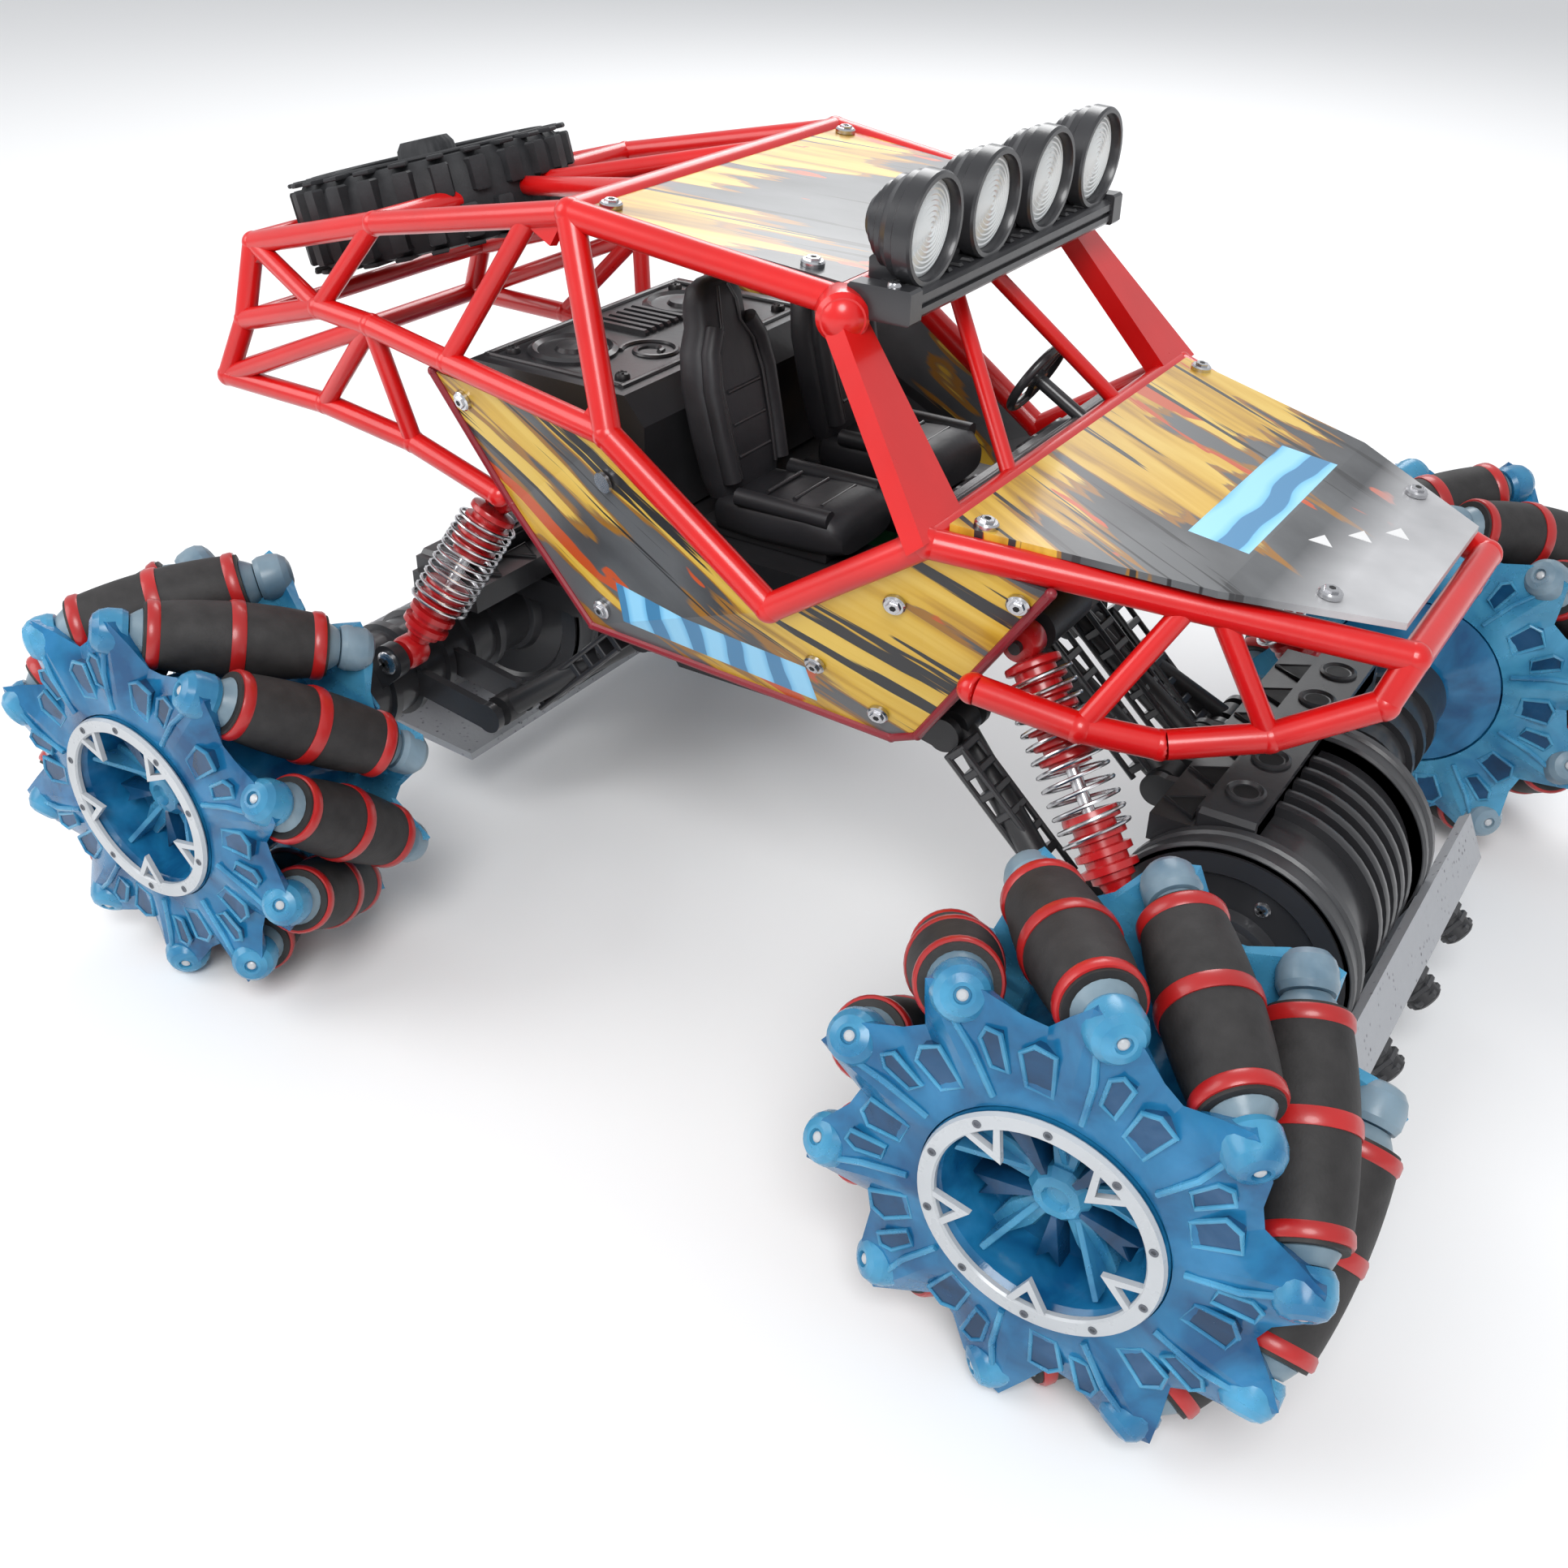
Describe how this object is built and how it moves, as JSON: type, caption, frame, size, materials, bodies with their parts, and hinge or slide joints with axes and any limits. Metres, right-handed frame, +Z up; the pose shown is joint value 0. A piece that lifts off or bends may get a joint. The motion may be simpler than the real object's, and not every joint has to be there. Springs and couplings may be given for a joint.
{
  "type": "remote control stunt car",
  "caption": "Caged remote control stunt car with two four-link axles, coil-over shocks and four wheels of slanted barrel rollers.",
  "frame": {"origin": "on the ground under the middle of the overall box", "axes": "+X to the front of the car, +Y to its left, +Z up"},
  "size_m": [0.3682, 0.304, 0.2103],
  "materials": {
    "red_cage": "glossy bright red moulding",
    "black_plastic": "satin black moulding",
    "grey_skid": "light grey moulding",
    "panel_graphic": "semi-gloss dark grey sheet with a mustard streak pattern",
    "blue_clear": "translucent blue moulding",
    "silver_trim": "light grey trim",
    "roller_rubber": "charcoal rubber with red bands",
    "spare_tyre": "black tyre rubber",
    "shock_red": "red ribbed moulding",
    "spring_steel": "bright spring steel",
    "lamp_lens": "frosted white lens",
    "battery_wrap": "battery shrink wrap",
    "board_green": "circuit board laminate",
    "screw_steel": "plated screws",
    "motor_steel": "motor can"
  },
  "bodies": {
    "chassis": {"chassis_tub": "black_plastic", "battery_hatch": "black_plastic", "battery_pack": "battery_wrap", "circuit_board": "board_green", "cage_side_left": "red_cage", "cage_side_right": "red_cage", "rear_rack": "red_cage", "cage_crossbars": "red_cage", "front_bumper": "red_cage", "side_panel_left": "panel_graphic", "side_panel_right": "panel_graphic", "hood_panel": "panel_graphic", "roof_panel": "panel_graphic", "seats": "black_plastic", "dashboard": "black_plastic", "rear_deck": "black_plastic", "steering_wheel": "black_plastic", "spare_wheel": "spare_tyre", "light_bar": "black_plastic", "lamp_housings": "black_plastic", "lamp_lenses": "lamp_lens", "panel_screws": "screw_steel"},
    "switch": {"power_switch": "black_plastic"},
    "front_lower_arms": {"front_lower_links": "black_plastic"},
    "front_upper_arms": {"front_upper_links": "black_plastic"},
    "front_axle": {"front_axle_case": "black_plastic", "front_skid_plate": "grey_skid", "front_motors": "motor_steel"},
    "front_shock_upper": {"front_shock_bodies": "shock_red", "front_shock_springs": "spring_steel"},
    "front_shock_lower": {"front_shock_rods": "shock_red"},
    "front_right_wheel": {"front_right_wheel_hub": "blue_clear", "front_right_trim_ring": "silver_trim"},
    "front_left_wheel": {"front_left_wheel_hub": "blue_clear", "front_left_trim_ring": "silver_trim", "front_left_rollers": "roller_rubber"},
    "rear_lower_arms": {"rear_lower_links": "black_plastic"},
    "rear_upper_arms": {"rear_upper_links": "black_plastic"},
    "rear_axle": {"rear_axle_case": "black_plastic", "rear_skid_plate": "grey_skid", "rear_motors": "motor_steel"},
    "rear_shock_upper": {"rear_shock_bodies": "shock_red", "rear_shock_springs": "spring_steel"},
    "rear_shock_lower": {"rear_shock_rods": "shock_red"},
    "rear_right_wheel": {"rear_right_wheel_hub": "blue_clear", "rear_right_trim_ring": "silver_trim", "rear_right_rollers": "roller_rubber"},
    "rear_left_wheel": {"rear_left_wheel_hub": "blue_clear", "rear_left_trim_ring": "silver_trim", "rear_left_rollers": "roller_rubber"},
    "front_right_roller_01": {"front_right_roller_01": "roller_rubber"},
    "front_right_roller_02": {"front_right_roller_02": "roller_rubber"},
    "front_right_roller_03": {"front_right_roller_03": "roller_rubber"},
    "front_right_roller_04": {"front_right_roller_04": "roller_rubber"},
    "front_right_roller_05": {"front_right_roller_05": "roller_rubber"},
    "front_right_roller_06": {"front_right_roller_06": "roller_rubber"},
    "front_right_roller_07": {"front_right_roller_07": "roller_rubber"},
    "front_right_roller_08": {"front_right_roller_08": "roller_rubber"},
    "front_right_roller_09": {"front_right_roller_09": "roller_rubber"},
    "front_right_roller_10": {"front_right_roller_10": "roller_rubber"}
  },
  "joints": [
    {"name": "front_suspension_swing", "type": "hinge", "parent": "chassis", "child": "front_lower_arms", "pos_m": [0.051, 0, 0.08], "axis": [0, 1, 0], "range_deg": [-9, 7], "stiffness_Nm_per_rad": 1.6, "springref_deg": 4.01},
    {"name": "front_upper_arm_swing", "type": "hinge", "parent": "chassis", "child": "front_upper_arms", "pos_m": [0.056, 0, 0.096], "axis": [0, 1, 0], "range_deg": [-9.5, 7.5]},
    {"name": "front_axle_level", "type": "hinge", "parent": "front_lower_arms", "child": "front_axle", "pos_m": [0.092, 0, 0.05], "axis": [0, 1, 0], "range_deg": [-7.5, 9.5]},
    {"name": "front_shock_tilt", "type": "hinge", "parent": "chassis", "child": "front_shock_upper", "pos_m": [0.072, 0, 0.1145], "axis": [0, 1, 0], "range_deg": [-7.78, 6.16]},
    {"name": "front_shock_stroke", "type": "slide", "parent": "front_shock_upper", "child": "front_shock_lower", "axis": [0.6207, 0, -0.7841], "range_m": [-0.00242, 0.00195], "deforming": ["front_shock_springs"]},
    {"name": "rear_suspension_swing", "type": "hinge", "parent": "chassis", "child": "rear_lower_arms", "pos_m": [-0.041, 0, 0.08], "axis": [0, 1, 0], "range_deg": [-7, 9], "stiffness_Nm_per_rad": 1.6, "springref_deg": -4.01},
    {"name": "rear_upper_arm_swing", "type": "hinge", "parent": "chassis", "child": "rear_upper_arms", "pos_m": [-0.046, 0, 0.096], "axis": [0, 1, 0], "range_deg": [-7.5, 9.5]},
    {"name": "rear_axle_level", "type": "hinge", "parent": "rear_lower_arms", "child": "rear_axle", "pos_m": [-0.082, 0, 0.05], "axis": [0, 1, 0], "range_deg": [-9.5, 7.5]},
    {"name": "rear_shock_tilt", "type": "hinge", "parent": "chassis", "child": "rear_shock_upper", "pos_m": [-0.086, 0, 0.1097], "axis": [0, 1, 0], "range_deg": [-7.09, 8.98]},
    {"name": "rear_shock_stroke", "type": "slide", "parent": "rear_shock_upper", "child": "rear_shock_lower", "axis": [-0.3975, 0, -0.9176], "range_m": [-0.00434, 0.00344], "deforming": ["rear_shock_springs"]},
    {"name": "front_right_wheel_spin", "type": "hinge", "parent": "front_axle", "child": "front_right_wheel", "pos_m": [0.13, -0.1245, 0.0539], "axis": [0, 1, 0], "continuous": true},
    {"name": "front_left_wheel_spin", "type": "hinge", "parent": "front_axle", "child": "front_left_wheel", "pos_m": [0.13, 0.1245, 0.0539], "axis": [0, 1, 0], "continuous": true},
    {"name": "rear_right_wheel_spin", "type": "hinge", "parent": "rear_axle", "child": "rear_right_wheel", "pos_m": [-0.12, -0.1245, 0.0539], "axis": [0, 1, 0], "continuous": true},
    {"name": "rear_left_wheel_spin", "type": "hinge", "parent": "rear_axle", "child": "rear_left_wheel", "pos_m": [-0.12, 0.1245, 0.0539], "axis": [0, 1, 0], "continuous": true},
    {"name": "front_right_roller_01_spin", "type": "hinge", "parent": "front_right_wheel", "child": "front_right_roller_01", "pos_m": [0.16744, -0.1245, 0.07702], "axis": [0.3378, -0.766, -0.5469], "continuous": true},
    {"name": "front_right_roller_02_spin", "type": "hinge", "parent": "front_right_wheel", "child": "front_right_roller_02", "pos_m": [0.1467, -0.1245, 0.09461], "axis": [0.5947, -0.766, -0.2439], "continuous": true},
    {"name": "front_right_roller_03_spin", "type": "hinge", "parent": "front_right_wheel", "child": "front_right_roller_03", "pos_m": [0.11958, -0.1245, 0.09665], "axis": [0.6245, -0.766, 0.1522], "continuous": true},
    {"name": "front_right_roller_04_spin", "type": "hinge", "parent": "front_right_wheel", "child": "front_right_roller_04", "pos_m": [0.09644, -0.1245, 0.08236], "axis": [0.4157, -0.766, 0.4902], "continuous": true},
    {"name": "front_right_roller_05_spin", "type": "hinge", "parent": "front_right_wheel", "child": "front_right_roller_05", "pos_m": [0.08612, -0.1245, 0.0572], "axis": [0.0482, -0.766, 0.641], "continuous": true},
    {"name": "front_right_roller_06_spin", "type": "hinge", "parent": "front_right_wheel", "child": "front_right_roller_06", "pos_m": [0.09256, -0.1245, 0.03078], "axis": [-0.3378, -0.766, 0.5469], "continuous": true},
    {"name": "front_right_roller_07_spin", "type": "hinge", "parent": "front_right_wheel", "child": "front_right_roller_07", "pos_m": [0.1133, -0.1245, 0.01319], "axis": [-0.5947, -0.766, 0.2439], "continuous": true},
    {"name": "front_right_roller_08_spin", "type": "hinge", "parent": "front_right_wheel", "child": "front_right_roller_08", "pos_m": [0.14042, -0.1245, 0.01115], "axis": [-0.6245, -0.766, -0.1522], "continuous": true},
    {"name": "front_right_roller_09_spin", "type": "hinge", "parent": "front_right_wheel", "child": "front_right_roller_09", "pos_m": [0.16356, -0.1245, 0.02544], "axis": [-0.4157, -0.766, -0.4902], "continuous": true},
    {"name": "front_right_roller_10_spin", "type": "hinge", "parent": "front_right_wheel", "child": "front_right_roller_10", "pos_m": [0.17388, -0.1245, 0.0506], "axis": [-0.0482, -0.766, -0.641], "continuous": true},
    {"name": "power_switch_slide", "type": "slide", "parent": "chassis", "child": "switch", "axis": [1, 0, 0], "range_m": [0, 0.003]}
  ],
  "couplings": [
    {"joint": "front_upper_arm_swing", "follows": "front_suspension_swing", "ratio": 1},
    {"joint": "front_axle_level", "follows": "front_suspension_swing", "ratio": -1},
    {"joint": "front_shock_tilt", "follows": "front_suspension_swing", "ratio": 0.80834},
    {"joint": "front_shock_stroke", "follows": "front_suspension_swing", "m_per_rad": 0.013527},
    {"joint": "rear_upper_arm_swing", "follows": "rear_suspension_swing", "ratio": 1},
    {"joint": "rear_axle_level", "follows": "rear_suspension_swing", "ratio": -1},
    {"joint": "rear_shock_tilt", "follows": "rear_suspension_swing", "ratio": 0.9418},
    {"joint": "rear_shock_stroke", "follows": "rear_suspension_swing", "m_per_rad": -0.025694}
  ]
}
